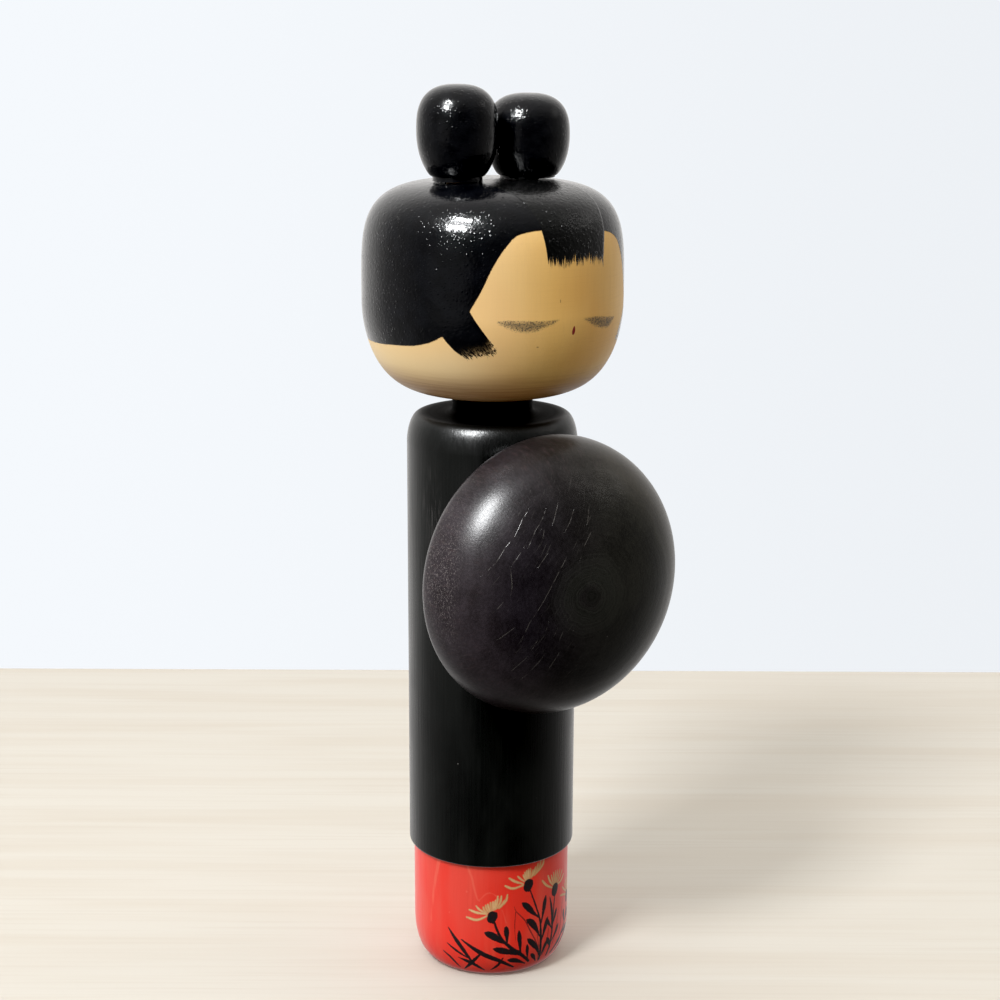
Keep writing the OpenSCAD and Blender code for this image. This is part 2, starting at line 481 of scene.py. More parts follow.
# leaves of the first stem
leaf(ink, (-3.9, 14.6), (1.5, 13.7), (7.5, 12.0), (12.4, 11.0), w=0.98)
leaf(ink, (11.4, 16.3), (11.8, 13.9), (12.3, 11.1), w=0.68)
leaf(ink, (2.4, 9.75), (8.0, 9.15), (15.5, 8.2), (23.6, 6.9), w=0.92)
leaf(ink, (21.2, 14.5), (21.8, 11.5), (23.0, 7.3), w=0.62)
leaf(ink, (13.4, 5.9), (20.0, 5.3), (28.0, 3.7), w=0.72)
leaf(ink, (28.0, 9.9), (28.5, 7.6), (29.4, 5.0), w=0.46)
# leaves of the second stem
leaf(ink, (23.9, 22.7), (27.6, 21.4), (33.0, 19.0), (38.2, 17.1), w=0.86)
leaf(ink, (44.7, 22.8), (43.0, 19.6), (40.4, 15.2), w=0.66)
leaf(ink, (27.5, 17.4), (31.5, 16.2), (35.6, 14.0), (38.8, 11.4), w=0.92)
leaf(ink, (46.9, 16.1), (44.4, 13.6), (40.9, 9.9), w=0.66)
leaf(ink, (28.2, 11.6), (33.0, 9.7), (37.5, 7.4), (40.0, 5.2), w=0.78)
leaf(ink, (32.2, 6.5), (35.0, 5.2), (38.2, 3.4), w=0.55)
leaf(ink, (46.9, 9.2), (44.6, 7.2), (42.3, 4.6), w=0.6)
# leaves and blades between the second and third stems
blade(ink, [(49.1, 22.1), (51.4, 18.4), (52.2, 15.2), (51.9, 11.2)], 0.44)
leaf(ink, (45.7, 15.9), (48.2, 14.2), (51.5, 12.2), w=0.5)
leaf(ink, (57.9, 17.3), (55.6, 15.2), (52.7, 12.9), w=0.5)
leaf(ink, (46.4, 9.9), (49.0, 8.2), (51.6, 6.2), w=0.6)
leaf(ink, (60.5, 12.2), (57.0, 10.2), (52.2, 8.0), w=0.56)
leaf(ink, (66.4, 7.4), (62.0, 6.2), (56.4, 4.4), w=0.72)
# the fourth stem, on the side towards the doll's left
leaf(ink, (84.6, 13.4), (80.0, 12.5), (74.6, 11.2), w=0.84)
leaf(ink, (70.4, 15.0), (71.0, 13.0), (73.0, 10.8), w=0.6)
leaf(ink, (80.4, 8.9), (74.0, 8.6), (67.4, 7.9), w=0.8)
# grass at the left
blade(ink, [(-32.6, 14.6), (-27.4, 12.1), (-21.3, 9.2), (-13.6, 5.0)], 0.56)
blade(ink, [(-21.8, 11.9), (-10.7, 9.2), (-3.7, 7.7), (6.9, 5.8), (18.4, 3.1)], 0.66)
blade(ink, [(-33.9, 9.8), (-26.6, 8.2), (-18.0, 6.5)], 0.30)
blade(ink, [(-38.4, 6.9), (-31.8, 5.3), (-25.4, 2.5)], 0.32)
blade(ink, [(-24.9, 6.0), (-14.2, 4.7), (-5.2, 2.5)], 0.52)
blade(ink, [(-21.8, 2.0), (-15.1, 4.7), (-6.6, 8.5)], 0.46)
blade(ink, [(0.2, 2.5), (5.6, 4.3), (9.4, 6.7)], 0.36)
# grass at the right
blade(ink, [(104.0, 13.4), (98.5, 11.5), (91.0, 8.6), (84.0, 4.8)], 0.52)
blade(ink, [(94.0, 11.2), (84.0, 9.0), (74.0, 6.4), (62.0, 3.6)], 0.6)
blade(ink, [(105.5, 8.6), (98.0, 7.3), (89.0, 5.6)], 0.3)
blade(ink, [(96.0, 5.4), (86.0, 4.4), (76.0, 2.6)], 0.46)
blade(ink, [(92.0, 2.0), (85.0, 4.5), (78.0, 7.6)], 0.4)

# thin dark lines, drawn with the tip of the brush
hairline = Paint(flat)
hairline.stroke(uv([(17.4, 22.0), (19.2, 20.4), (25.8, 17.4), (30.6, 13.7), (36.8, 9.1), (39.0, 6.0)]), [0.06, 0.15, 0.17, 0.16, 0.14, 0.12])
hairline.stroke(uv([(18.6, 20.4), (17.9, 15.7), (18.8, 11.1)]), [0.12, 0.09, 0.05])
hairline.stroke(uv([(30.2, 26.0), (33.4, 22.7), (36.4, 19.2)]), [0.1, 0.12, 0.1])
hairline.stroke(uv([(36.5, 12.2), (38.6, 8.0), (39.8, 4.0)]), [0.08, 0.12, 0.1])
hairline.stroke(uv([(48.0, 12.6), (46.8, 9.0), (44.0, 4.8)]), [0.08, 0.14, 0.1])
hairline.stroke(uv([(60.4, 16.6), (58.2, 12.4), (54.0, 6.8)]), [0.06, 0.13, 0.1])
hairline.stroke(uv([(68.0, 19.0), (66.2, 14.6), (62.0, 8.4)]), [0.06, 0.14, 0.1])

gold = Paint(flat)
for tip, *rest, w in (
        # first flower
        ((-17.7, 18.85), (-10.0, 18.35), (-2.4, 19.7), 0.38), ((-15.6, 21.15), (-9.6, 20.5), (-2.6, 20.25), 0.38),
        ((-10.6, 22.5), (-8.2, 21.5), (-3.4, 20.5), 0.32), ((-5.4, 22.3), (-4.6, 21.4), (-2.2, 20.5), 0.3),
        ((-3.7, 22.9), (-3.0, 21.8), (-1.2, 20.7), 0.3), ((-2.0, 23.2), (-1.4, 22.1), (-0.4, 20.9), 0.3),
        ((-0.2, 23.7), (0.2, 22.4), (0.6, 21.1), 0.3), ((1.7, 23.9), (1.8, 22.6), (1.8, 21.3), 0.3),
        ((3.5, 24.3), (3.2, 22.9), (2.8, 21.5), 0.3), ((5.2, 25.5), (4.8, 23.8), (3.4, 21.6), 0.32),
        ((7.9, 25.5), (6.9, 23.6), (4.2, 21.8), 0.34), ((10.2, 24.2), (8.2, 23.0), (4.6, 21.9), 0.3),
        ((12.3, 25.8), (11.0, 23.9), (6.0, 21.9), 0.34),
        # second flower
        ((10.6, 28.45), (16.5, 27.45), (24.6, 28.0), 0.38), ((13.6, 30.6), (18.2, 29.4), (24.2, 28.4), 0.38),
        ((19.9, 30.9), (22.4, 29.9), (25.4, 29.0), 0.3), ((24.3, 31.0), (25.4, 30.1), (26.8, 29.2), 0.3),
        ((25.5, 31.7), (26.3, 30.6), (27.4, 29.4), 0.3), ((27.0, 32.1), (27.4, 30.9), (28.2, 29.5), 0.32),
        ((28.6, 32.4), (28.7, 31.1), (29.0, 29.6), 0.32), ((30.2, 32.5), (30.0, 31.2), (29.8, 29.7), 0.3),
        ((32.4, 31.9), (31.9, 30.9), (30.6, 29.7), 0.28), ((34.6, 32.6), (33.6, 31.4), (31.0, 29.8), 0.3),
        ((36.8, 33.4), (35.8, 31.8), (31.6, 29.9), 0.32), ((39.4, 34.1), (38.2, 32.2), (32.6, 30.1), 0.32),
        ((42.3, 34.2), (41.0, 32.4), (33.6, 30.2), 0.34),
        # third flower
        ((41.0, 27.8), (45.4, 25.9), (52.4, 24.2), 0.38), ((46.9, 28.6), (49.4, 26.5), (53.4, 24.8), 0.34),
        ((50.6, 28.2), (52.0, 26.6), (54.0, 25.0), 0.3), ((53.4, 28.7), (54.0, 27.0), (54.8, 25.2), 0.3),
        ((56.2, 28.8), (56.0, 27.0), (55.6, 25.3), 0.3), ((59.0, 28.6), (57.8, 26.8), (56.4, 25.3), 0.32),
        ((62.4, 28.4), (60.2, 26.6), (57.2, 25.2), 0.32), ((66.2, 27.6), (62.6, 25.9), (57.6, 24.9), 0.34),
        ((69.6, 25.9), (64.4, 24.7), (57.8, 24.4), 0.36),
        # fourth flower
        ((63.8, 20.2), (69.6, 19.6), (77.6, 18.4), 0.36), ((67.4, 22.2), (72.0, 20.8), (78.2, 19.2), 0.34),
        ((72.0, 22.6), (75.0, 21.2), (79.0, 19.5), 0.3), ((75.4, 23.2), (77.4, 21.5), (79.4, 19.7), 0.3),
        ((78.6, 23.4), (79.4, 21.6), (80.0, 19.8), 0.3), ((81.8, 23.0), (81.4, 21.4), (80.6, 19.7), 0.3),
        ((85.2, 22.6), (83.4, 21.0), (81.2, 19.5), 0.32), ((89.4, 21.4), (86.0, 20.0), (81.8, 19.1), 0.34),
        ((93.4, 19.2), (88.0, 18.6), (82.2, 18.6), 0.36)):
    petal(gold, tip, *rest, w=w, tone=rng.uniform(0.15, 1.0))

pale = Paint(flat, far=2.6)
pale.stroke(uv([(-16.9, 34.0), (-13.8, 30.7), (-12.0, 27.7), (-9.8, 24.7), (-8.1, 24.1)]), [0.25, 0.22, 0.2, 0.14])
pale.stroke(uv([(-8.1, 24.3), (-3.7, 26.1), (-0.2, 26.5), (3.4, 25.8), (5.6, 24.9)]), [0.08, 0.10, 0.10, 0.06])
pale.stroke(uv([(8.6, 21.3), (11.3, 17.5)]), [0.06, 0.04])
pale.stroke(uv([(-41.1, 34.0), (-45.9, 26.1), (-48.6, 19.4), (-50.3, 14.5)]), [0.55, 0.4, 0.35, 0.2])
pale.stroke(uv([(-17.8, 26.4), (-17.7, 26.5)]), [0.16, 0.16])
pale.stroke(uv([(-31.8, 19.2), (-31.7, 19.3)]), [0.12, 0.12])
pale.stroke(uv([(8.8, 10.6), (9.1, 10.5)]), [0.18, 0.18])
for a in range(112, 318, 23):                    # the same grain, faintly, round the back
    j = rng.uniform(-6, 6, 4)
    pale.stroke(uv([(a + j[0], 34.0), (a + j[1] * 0.6, 25.0), (a + j[2] * 0.4, 17.0), (a + j[3] * 0.3, 9.0)]), [0.2, 0.12, 0.1, 0.04])
for k, v in (("ink", ink.d), ("gold", gold.d), ("gold_tone", gold.tone), ("line", hairline.d), ("pale", pale.d)):
    store(foot, k, v)
store(foot, "height", p[:, 2])

m = Mat("foot_red_paint", rough=0.36, spec=0.45)
wide = m.noise(m.stretched(1, 1, 0.35), 0.085, 2.0, 0.5, 0.6)
fibre = m.noise(m.stretched(2.4, 2.4, 0.10), 1.0, 3.0, 0.6)
broad = m.noise(m.stretched(0.35, 0.35, 0.02), 1.0, 2.0, 0.5)
red = m.mix(m.step(wide, 0.36, 0.64), (0.80, 0.034, 0.018), (0.78, 0.058, 0.036))
red = m.mix(m.mul(m.step(broad, 0.45, 0.72), 0.5), red, (0.80, 0.085, 0.05))
red = m.mix(m.mul(m.step(fibre, 0.50, 0.78), 0.20), red, (0.60, 0.022, 0.014))
pale_edge = m.add(m.attr("pale"), m.mul(m.sub(fibre, 0.5), 0.5))
red = m.mix(m.mul(m.step(pale_edge, -0.26, 0.14), 0.22), red, (0.86, 0.25, 0.16))
low_edge = m.step(m.attr("height"), 1.4, 0.15)
red = m.mix(m.mul(low_edge, 0.55), red, (0.36, 0.03, 0.02))
brush = m.noise(m.stretched(2.2, 2.2, 1.2), 1.0, 2.0, 0.6)
line_m = m.step(m.add(m.attr("line"), m.mul(m.sub(brush, 0.5), 0.16)), -0.10, 0.07)
red = m.mix(m.mul(line_m, 0.82), red, (0.055, 0.010, 0.010))
ink_m = m.step(m.add(m.attr("ink"), m.mul(m.sub(brush, 0.5), 0.30)), -0.15, 0.01)
thin_ink = m.mul(ink_m, m.lerp(m.step(brush, 0.3, 0.55), 0.97, 1.0))
gold_e = m.add(m.attr("gold"), m.mul(m.sub(brush, 0.5), 0.22))
gold_m = m.step(gold_e, -0.10, 0.08)
gold_c = m.mix(m.attr("gold_tone"), (0.60, 0.34, 0.13), (0.72, 0.50, 0.24))
gold_c = m.mix(m.step(gold_e, 0.02, 0.30), m.mix(0.45, gold_c, (0.42, 0.13, 0.05)), gold_c)
col = m.mix(m.mul(gold_m, 0.94), red, gold_c)
col = m.mix(thin_ink, col, m.mix(m.step(brush, 0.42, 0.66), (0.0045, 0.0045, 0.0055), (0.011, 0.011, 0.013)))
m.set("Base Color", col)
painted = m.top(ink_m, m.mul(gold_m, 0.8))
m.set("Roughness", m.lerp(painted, m.lerp(m.step(fibre, 0.35, 0.7), 0.33, 0.42), 0.40))
relief = m.add(m.mul(fibre, 0.22), m.mul(painted, 1.0))
m.set("Normal", m.bump(m.noise(m.P, 1.1, 2.0, 0.6), 0.010, 1.0, m.bump(relief, 0.030)))
give(foot, m)

# ================================================================ kimono body
az_body = np.arange(0, 360, 1.0)
shoulder = moved(quarter(4, 7.4, 2.7, 1.55), 23 - 4, 156.6 - 7.4)
hem = moved(quarter(0.9, 0.9, 2, 2)[::-1], 23 - 0.9, 34.4 + 0.9, 1, -1)
body = turned("kimono_body_turned",
              joined([(0, 46.7), (14.03, 46.7), (14.03, 34.4)], even(hem, 0.15),
                     even([(23, 35.3), (23, 149.2)], 0.9), even(shoulder, 0.22),
                     [(17, 156.6), (15, 156.6), (12.2, 156.6), (11.15, 157.05), (10.9, 157.4), (10.8, 158.0), (10.8, 161.4),
                      (10.72, 161.75), (10.55, 161.97), (10.3, 162.05), (5.25, 162.05), (5.03, 161.83), (5.03, 136.0), (0, 136.0)]),
              az_body)
front = lambda q: np.stack([q[:, 0], -q[:, 2], q[:, 1] + HAT_Z], 1)
body = bored(body, [rod("c", 4.03, 11.0, 26.0, front)])
p = points_of(body)
az_view = np.degrees(np.arctan2(p[:, 0], -p[:, 1])) + VIEW_AZ
near = lambda a, z, wa, wz: np.exp(-((az_view - a) / wa) ** 2 - ((p[:, 2] - z) / wz) ** 2)
store(body, "wear", 1.0 * near(-44, 134, 9, 11) + 0.6 * near(-35, 117, 7, 9) + 0.35 * near(-55, 60, 14, 26)
      + 0.35 * near(60, 70, 16, 20) + 0.3 * near(150, 100, 20, 26) + 0.3 * near(-140, 80, 20, 30))
store(body, "height", p[:, 2])
store(body, "under_head", np.clip((21.5 - np.hypot(p[:, 0], p[:, 1])) / 3.7, 0, 1) * (p[:, 2] > 150.0))

m = Mat("kimono_black_lacquer", rough=0.34, spec=0.37)
fibre = m.noise(m.stretched(1.8, 1.8, 0.045), 1.0, 4.0, 0.62)
cloud = m.noise(m.stretched(1, 1, 0.4), 0.07, 3.0, 0.55, 0.4)
fine = m.noise(m.P, 1.6, 3.0, 0.6)
col = m.mix(m.step(cloud, 0.35, 0.68), (0.0016, 0.0019, 0.0017), (0.0042, 0.0048, 0.0042))
streak = m.noise(m.stretched(4.2, 4.2, 0.10), 1.0, 2.0, 0.7)
wear = m.attr("wear")
rub = m.mul(m.step(streak, 0.54, 0.68), m.step(m.add(wear, m.mul(m.sub(cloud, 0.5), 0.5)), 0.15, 0.85))
col = m.mix(m.mul(rub, 0.50), col, (0.095, 0.088, 0.088))
d, tint = m.cells(m.P, 0.16)
speck = m.mul(m.step(d, 0.036, 0.018), m.step(m.xyz(tint)[0], 0.80, 0.82))
col = m.mix(m.mul(speck, 0.55), col, (0.40, 0.39, 0.36))
rim = m.mul(m.step(m.attr("height"), 35.5, 34.5), m.step(fine, 0.48, 0.62))
col = m.mix(m.mul(rim, 0.25), col, (0.08, 0.045, 0.03))
m.set("Base Color", col)
m.set("Roughness", m.lerp(m.mul(m.attr("under_head"), m.attr("under_head")), m.add(m.lerp(m.step(cloud, 0.3, 0.7), 0.24, 0.33), m.mul(m.step(fibre, 0.4, 0.7), 0.05)), 0.62))
m.set("Normal", m.bump(fine, 0.012, 1.0, m.bump(m.add(fibre, m.mul(cloud, 0.8)), 0.05)))
# towards the collar, under the head, the stain was never polished, and its colour there is painted darker as painted
# shade under the head
turn = m.noise(m.combine(m.vec("LENGTH", m.vec("MULTIPLY", m.P, (1, 1, 0))), m.xyz(m.P)[2]), 1.6, 3.0, 0.6)
m.blend(m.attr("under_head"), 0.03, m.mix(m.step(turn, 0.35, 0.7), (0.0010, 0.0010, 0.0011), (0.0022, 0.0021, 0.0022)),
        m.lerp(turn, 0.55, 0.75), m.bump(turn, 0.04))
give(body, m, (upright, lambda c: (radius(c) < 5.1) | ((radius(c) < 14.1) & (c[:, 2] < 47))),
     (lying, lambda c: (np.hypot(c[:, 0], c[:, 2] - HAT_Z) < 4.0) & (c[:, 1] < -10) & (c[:, 1] > -22.4)))

# ================================================================ head
az_face = np.linspace(-110.0, 110.0, 339)
az_head = np.r_[az_face, np.linspace(110.0, 250.0, 71)[1:-1]] + FACE_AZ
a_seat = math.degrees(math.acos((11.7 / 34.7) ** (4.77 / 2)))
jaw = moved(quarter(34.7, 24.2, 4.77, 1.78, a_seat, 900)[::-1], 0, 186.4, 1, -1)
crown = moved(quarter(34.7, 32.2, 4.12, 4.54, 90.0, 1400), 0, 186.4)
wall = joined(jaw, crown[1:])
seat_z = jaw[0, 1]
z_mid = (wall[:, 1] > 172.0) & ((wall[:, 1] < 213.0) | (wall[:, 0] > 33.0))
i0, i1 = np.where(z_mid)[0][[0, -1]]
outline = joined(even(wall[:i0 + 1], 0.75), even(wall[i0:i1 + 1], 0.33), even(wall[i1:], 0.62)[:-1],
                 [(0.0, 218.6)])
outline = outline[np.r_[True, np.abs(np.diff(outline, axis=0)).max(1) > 1e-5]]
head = turned("head_painted",
              joined([(0, 184.4), (5.05, 184.4), (5.05, seat_z + 0.25), (5.3, seat_z)], [(8.5, seat_z)], outline), az_head)
head = bored(head, [rod("c", 3.03, 208.6, 225.0, at_bun(-1)), rod("c", 3.03, 208.6, 225.0, at_bun(1))])

p = points_of(head)
rad = np.hypot(p[:, 0], p[:, 1])
phi = (np.degrees(np.arctan2(p[:, 0], -p[:, 1])) - FACE_AZ + 180) % 360 - 180
K = 34.7 * D2R
flat = np.stack([phi * K, p[:, 2]], 1)

left_top = [(-14.8, 208.5), (-18.7, 208.36), (-22.3, 208.07), (-25.1, 207.7), (-27.3, 207.2), (-29.1, 206.4), (-31.1, 205.0),
            (-33.1, 203.6), (-35.1, 201.8), (-37.1, 199.8), (-38.7, 197.9), (-40.3, 195.7), (-42.1, 193.5), (-44.1, 191.4),
            (-46.7, 188.7)]
lock_in = [(-46.7, 188.7), (-44.7, 186.7), (-42.3, 184.6), (-39.9, 182.6), (-37.5, 180.7), (-36.3, 179.6)]
lock_end = [(-36.3, 179.6), (-36.0, 178.3), (-38.4, 177.4), (-42.3, 177.15), (-45.2, 176.8), (-48.0, 176.3)]
lock_out = [(-48.0, 176.3), (-51.1, 177.3), (-53.9, 178.6), (-56.7, 180.4), (-58.8, 182.0)]
nape = [(-58.8, 182.0), (-62.3, 180.9), (-65.5, 180.06), (-69.5, 179.4), (-73.5, 178.9), (-77.5, 178.64), (-86.3, 178.26),
        (-97.5, 177.7), (-130.0, 177.0), (-165.0, 176.7), (-240.0, 176.7)]
left = left_top + lock_in[1:] + lock_end[1:] + lock_out[1:] + nape[1:]
right_top = [(-15.2, 208.0), (-19.0, 207.3), (-22.5, 206.8), (-25.7, 206.4), (-28.9, 205.6), (-32.1, 204.3), (-34.1, 202.7), (-35.7, 201.2)]
right = [(-a, z) for a, z in right_top] + [(-a, z) for a, z in left if z < 200.5 or a < -46]
skin = [(a * K, z) for a, z in left[::-1]] + [(a * K, z) for a, z in right] + [(240 * K, 120.0), (-240 * K, 120.0)]
hair = -inside_distance(flat, skin)
end_l = np.array([(a * K, z) for a, z in lock_end])
end_r = end_l * np.array([-1, 1])
rag = np.exp(-(np.minimum(line_distance(flat, end_l), line_distance(flat, end_r)) / 1.5) ** 2)
side = np.where(flat[:, 0] < 0, 1.0, -1.0)
du, dv = 0.70, -0.71                                        # the way the side locks were brushed
bx = side * flat[:, 0] * -dv + flat[:, 1] * du              # across the bristles
by = side * flat[:, 0] * du + flat[:, 1] * dv               # along them

# the fringe: one broad brush stroke from under the buns, over the crown and down to the brow
xs = rad * np.sin(phi * D2R)
ys = rad * np.cos(phi * D2R)
prof_s = np.r_[0, np.cumsum(np.hypot(*np.diff(wall, axis=0).T))]
at200 = np.interp(200.0, wall[:, 1], prof_s)
pole = prof_s[-1] - at200
s_here = np.interp(p[:, 2], wall[:, 1], prof_s) - at200
top_s = pole - np.interp(rad, wall[::-1][:len(crown) - 1, 0], (prof_s[-1] - prof_s[::-1][:len(crown) - 1]))
s_here = np.where(p[:, 2] > 214.0, top_s, s_here)
s_here = np.where(ys < 0, 2 * pole - s_here, s_here)
lo = np.interp(s_here, [-4, 0, 4, 8, 15, 25, 60], [-8.0, -8.15, -8.5, -8.95, -10.3, -11.0, -11.6])
hi = np.interp(s_here, [-4, 0, 4, 7, 9, 15, 25, 60], [10.1, 10.25, 10.9, 11.75, 11.9, 12.8, 13.3, 13.8])
sides = np.minimum(xs - lo, hi - xs)
bottom = p[:, 2] - 200.45 - 0.25 * np.sin(flat[:, 0] * 0.55)
back = pole + 5.0 - s_here
fringe = np.where(ys > 0, np.minimum(sides, back), -5.0)
eye_l = [(-35.2, 186.1), (-31.0, 186.3), (-26.0, 186.15), (-20.0, 186.05), (-14.5, 185.85), (-8.6, 186.05), (-11.4, 185.3),
         (-14.3, 184.7), (-18.0, 183.8), (-22.3, 183.45), (-27.0, 183.85), (-31.0, 184.75)]
eye_r = [(4.6, 185.8), (7.0, 185.75), (10.5, 185.75), (16.0, 185.45), (21.25, 184.95), (27.6, 184.5), (24.75, 183.25), (23.0, 182.6),
         (19.5, 182.5), (15.5, 182.95), (11.25, 183.7), (8.2, 184.75)]
lid = p[:, 2] - np.interp(phi, [-36, -31, -24.5, -17.75, -12.75, -9, 0, 5, 10.5, 16, 21.25, 26.75, 30],
                          [186.1, 186.3, 186.2, 185.9, 185.7, 185.7, 185.75, 185.8, 185.75, 185.45, 184.95, 184.5, 184.3])
eyes = np.maximum(inside_distance(flat, [(a * K, z) for a, z in eye_l]), inside_distance(flat, [(a * K, z) for a, z in eye_r]))
warm = np.exp(-((phi - 3) / 15) ** 2 - ((p[:, 2] - 193) / 9) ** 2)
for k, v in (("hair", np.clip(hair, -6, 6)), ("rag", rag), ("bx", bx), ("by", by), ("fringe", np.clip(fringe, -6, 6)),
             ("bottom", np.clip(bottom, -8, 20)), ("eyes", np.clip(eyes, -4, 4)), ("warm", warm),
             ("u", flat[:, 0]), ("v", p[:, 2]), ("lid", np.clip(lid, -5, 5))):
    store(head, k, v)

m = Mat("head_wood_and_hair", rough=0.4, spec=0.48)
u, v = m.attr("u"), m.attr("v")
P = m.P
fibre = m.noise(m.stretched(3.6, 3.6, 0.09), 1.0, 3.0, 0.6)
broad = m.noise(m.stretched(0.28, 0.28, 0.018), 1.0, 2.0, 0.5, 0.3)
turn = m.noise(m.stretched(0.06, 0.06, 3.1), 1.0, 3.0, 0.65)
wood = m.mix(broad, (0.735, 0.430, 0.110), (0.82, 0.520, 0.165))
wood = m.mix(m.mul(m.step(m.noise(m.P, 0.055, 2.0, 0.5), 0.45, 0.70), 0.45), wood, (0.72, 0.37, 0.085))
wood = m.mix(m.mul(m.step(fibre, 0.42, 0.80), 0.26), wood, (0.60, 0.345, 0.115))
wood = m.mix(m.mul(m.step(turn, 0.46, 0.78), 0.22), wood, (0.58, 0.30, 0.08))
# the side of the face towards the key light is painted paler, and paler still low on that side: painted light
ahead = m.step(u, -106.0, -78.0)
wood = m.mix(m.mul(m.mul(m.step(u, -2.0, -24.0), ahead), 0.60), wood, (0.80, 0.545, 0.265))
wood = m.mix(m.mul(m.mul(m.mul(m.step(u, -16.0, -36.0), m.step(v, 184.0, 173.0)), ahead), 0.65), wood, (0.86, 0.66, 0.37))
# darker brown towards the underside of the head, with turning streaks in it: painted shade
wood = m.mix(m.mul(m.step(v, 173.5, 165.5), m.lerp(m.step(turn, 0.30, 0.70), 0.56, 0.86)), wood, (0.31, 0.115, 0.030))
wood = m.mix(m.mul(m.attr("warm"), 0.55), wood, (0.70, 0.36, 0.08))
d, tint = m.cells(P, 0.09)
fleck = m.mul(m.step(d, 0.030, 0.016), m.step(m.xyz(tint)[0], 0.62, 0.66))
wood = m.mix(m.mul(fleck, 0.75), wood, (0.20, 0.085, 0.02))


def dot(cu, cv, w, h):
    a = m.mul(m.sub(u, cu), 1.0 / w)
    b = m.mul(m.sub(v, cv), 1.0 / h)
    return m.step(m.add(m.mul(a, a), m.mul(b, b)), 1.3, 0.5)


wood = m.mix(m.mul(m.top(dot(-7.9 * K, 190.8, 0.17, 0.45), dot(-17.7 * K, 179.4, 0.34, 0.2)), 0.6), wood, (0.22, 0.10, 0.03))
# eyes: two soft crescents of tiny grey-black dots
uvv = m.combine(u, v)
grit = m.noise(uvv, 2.5, 3.0, 0.75)
d, tint = m.cells(uvv, 2.6)
depth = m.attr("eyes")
crisp = m.step(m.attr("lid"), -0.9, -0.1)
soft = m.lerp(crisp, m.step(m.add(depth, m.mul(m.sub(grit, 0.5), 1.6)), -0.60, 0.30), m.step(m.add(depth, m.mul(m.sub(grit, 0.5), 0.8)), -0.34, 0.06))
dotty = m.step(m.add(m.mul(m.sub(0.58, d), 0.9), m.mul(m.sub(grit, 0.5), 1.2)), -0.12, 0.36)
shade = m.mul(soft, m.lerp(m.step(depth, -0.1, 0.9), m.lerp(dotty, 0.26, 0.88), m.lerp(dotty, 0.60, 0.93)))
wood = m.mix(shade, wood, (0.040, 0.040, 0.032))
# mouth: one dark red drop
t = m.f("DIVIDE", m.sub(v, 181.85), 2.35)
bulge = m.f("SQRT", m.top(m.mul(m.mul(t, m.sub(1.0, t)), 4.0), 0.0001))
width = m.mul(bulge, m.lerp(m.f("MULTIPLY", t, 1.0, clamp=True), 0.66, 0.44))
mouth = m.step(m.sub(width, m.f("ABSOLUTE", m.sub(u, m.add(-0.55, m.mul(t, 0.22))))), 0.02, 0.14)
wood = m.mix(mouth, wood, (0.235, 0.006, 0.008))
# hair: crisp painted edges, ragged where the brush left the wood
by_v = m.combine(m.mul(m.attr("bx"), 2.5), m.mul(m.attr("by"), 0.75))
bristle = m.noise(by_v, 1.0, 3.0, 0.72)
edge = m.noise(uvv, 1.4, 2.0, 0.5)
h_edge = m.add(m.attr("hair"), m.add(m.mul(m.mul(m.sub(bristle, 0.55), 7.5), m.attr("rag")), m.mul(m.sub(edge, 0.5), 0.10)))
hair_m = m.step(h_edge, -0.10, 0.12)
hair_m = m.mul(hair_m, m.lerp(m.mul(m.attr("rag"), m.step(bristle, 0.56, 0.40)), 1.0, 0.35))
comb1 = m.noise1(u, 0.75, 1.0, 0.5)
comb2 = m.noise1(m.add(u, 37.0), 2.7, 2.0, 0.6)
streaks = m.noise(m.combine(m.mul(u, 2.6), m.mul(v, 0.55)), 1.0, 2.0, 0.7)
spikes = m.add(m.mul(m.sub(comb1, 0.5), 4.2), m.add(m.mul(m.sub(comb2, 0.5), 5.2), m.mul(m.sub(streaks, 0.5), 2.6)))
f_side = m.step(m.add(m.attr("fringe"), m.mul(m.sub(edge, 0.5), 0.12)), -0.10, 0.12)
f_bot = m.step(m.add(m.attr("bottom"), spikes), -0.45, 0.55)
fringe_m = m.mul(f_side, f_bot)
black = m.top(hair_m, fringe_m)
over = m.mul(fringe_m, m.step(m.attr("fringe"), -0.1, 0.5))
sheen = m.noise(m.P, 0.22, 2.0, 0.5)
hair_c = m.mix(m.step(sheen, 0.35, 0.7), (0.0016, 0.0018, 0.0026), (0.0034, 0.0038, 0.0052))
hair_c = m.mix(over, hair_c, (0.0016, 0.0018, 0.0018))
m.set("Base Color", m.mix(black, wood, hair_c))
speck, bead = beads(m)
coarse = m.noise(P, 0.25, 2.0, 0.5)
m.set("Roughness", m.lerp(black, m.lerp(fibre, 0.40, 0.50), m.lerp(over, m.lerp(coarse, 0.10, 0.18), 0.22)))
paint_h = m.add(m.mul(black, 0.6), m.mul(over, 1.0))
n1 = m.bump(paint_h, 0.07)
n1 = m.bump(m.mul(coarse, black), 0.05, 1.0, n1)
wet = m.add(m.mul(speck, m.lerp(over, 0.55, 1.1)), m.mul(bead, m.lerp(over, 0.95, 2.0)))
m.set("Normal", m.bump(m.lerp(black, m.mul(fibre, 0.22), wet), 0.075, 1.0, n1))
give(head, m, (upright, lambda c: ((radius(c) < 5.1) & (c[:, 2] < 190))
               | ((c[:, 2] < 218.3) & (radius(c) < 15) & (c[:, 2] > 200))))

